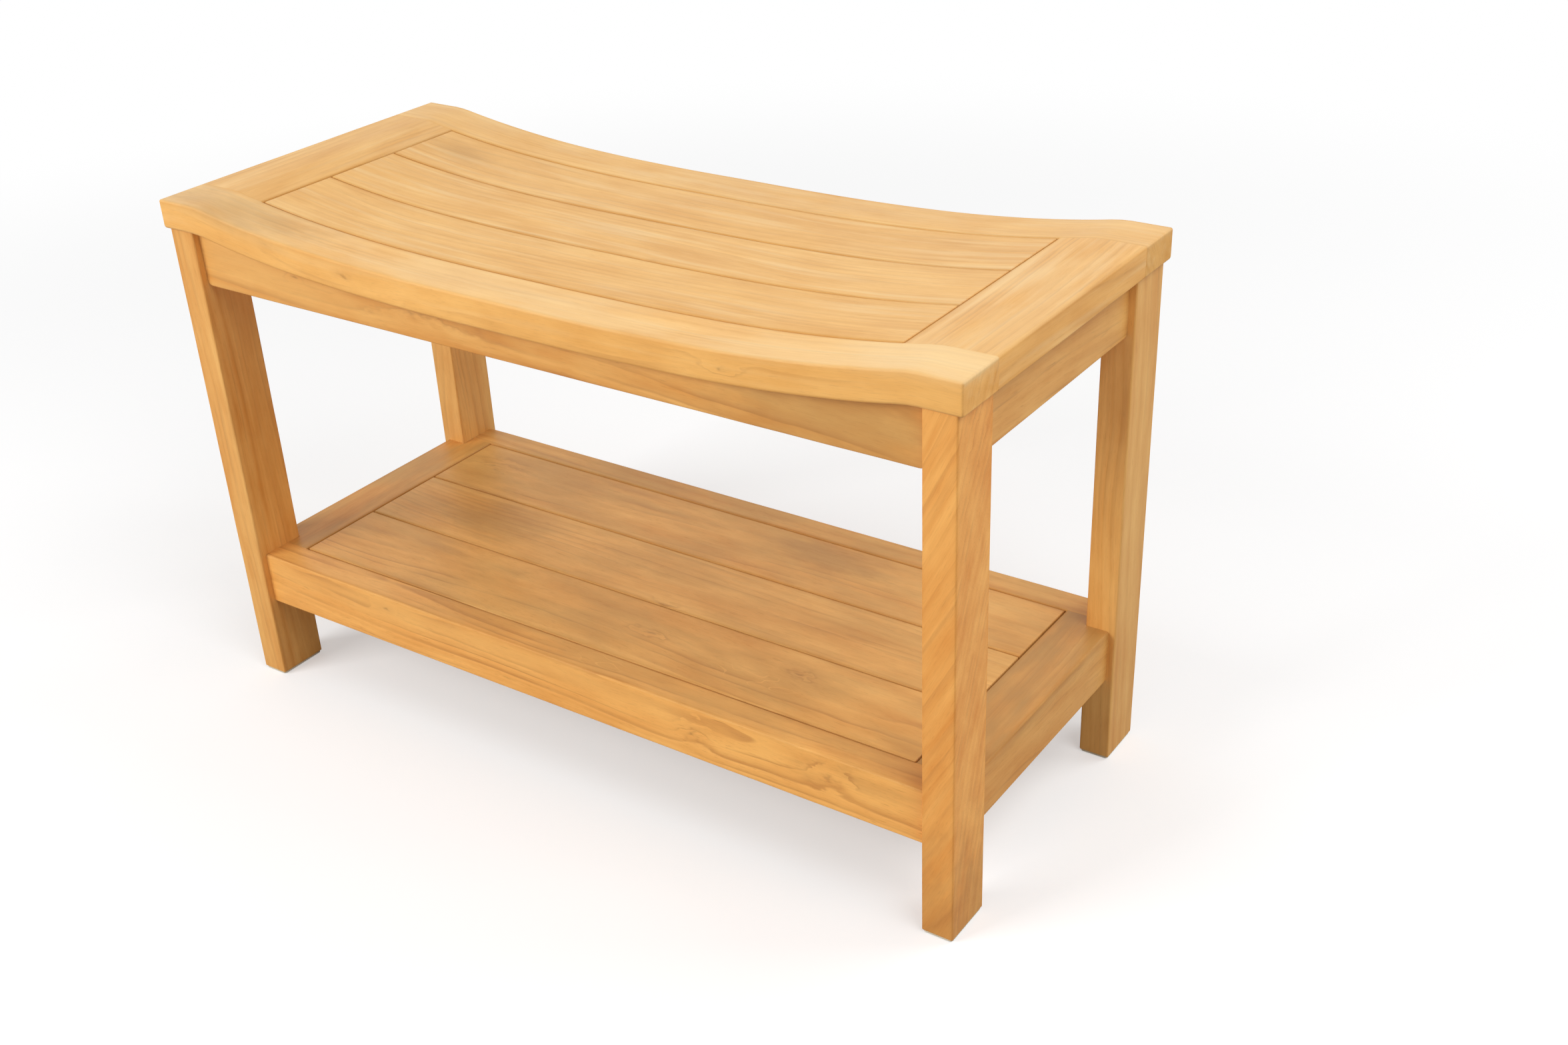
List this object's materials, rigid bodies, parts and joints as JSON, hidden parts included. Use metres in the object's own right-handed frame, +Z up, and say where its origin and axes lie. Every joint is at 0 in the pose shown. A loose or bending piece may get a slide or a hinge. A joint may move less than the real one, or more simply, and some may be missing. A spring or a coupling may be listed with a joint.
{
  "type": "teak shower bench",
  "caption": "Rectangular wooden shower bench with a dipped saddle seat of lengthwise slats, four straight legs, aprons and a slatted lower shelf.",
  "frame": {"origin": "on the floor, under the middle of the seat", "axes": "+X along the seat to the right, +Y from front to back, +Z up"},
  "size_m": [0.762, 0.326, 0.464],
  "materials": {
    "seat_teak": "planed and sanded teak, pale honey, satin oil",
    "frame_teak": "planed and sanded teak, golden, satin oil",
    "shelf_teak": "planed and sanded teak, tan with darker streaks, satin oil",
    "batten_teak": "planed teak, unseen side",
    "stainless_screws": "stainless steel",
    "nylon_pads": "moulded nylon, matt"
  },
  "bodies": {
    "root": {"seat_front_rail": "seat_teak", "seat_rear_rail": "seat_teak", "seat_left_end_rail": "seat_teak", "seat_right_end_rail": "seat_teak", "seat_front_slat": "seat_teak", "seat_middle_slat": "seat_teak", "seat_rear_slat": "seat_teak", "front_left_leg": "frame_teak", "front_right_leg": "frame_teak", "rear_left_leg": "frame_teak", "rear_right_leg": "frame_teak", "front_apron": "frame_teak", "rear_apron": "frame_teak", "left_apron": "frame_teak", "right_apron": "frame_teak", "shelf_front_rail": "shelf_teak", "shelf_rear_rail": "shelf_teak", "shelf_left_end_rail": "shelf_teak", "shelf_right_end_rail": "shelf_teak", "shelf_front_slat": "shelf_teak", "shelf_middle_slat": "shelf_teak", "shelf_rear_slat": "shelf_teak", "seat_batten": "batten_teak", "shelf_batten": "batten_teak", "seat_batten_screws": "stainless_screws", "shelf_batten_screws": "stainless_screws", "front_left_foot_pad": "nylon_pads", "front_right_foot_pad": "nylon_pads", "rear_left_foot_pad": "nylon_pads", "rear_right_foot_pad": "nylon_pads"}
  },
  "joints": []
}
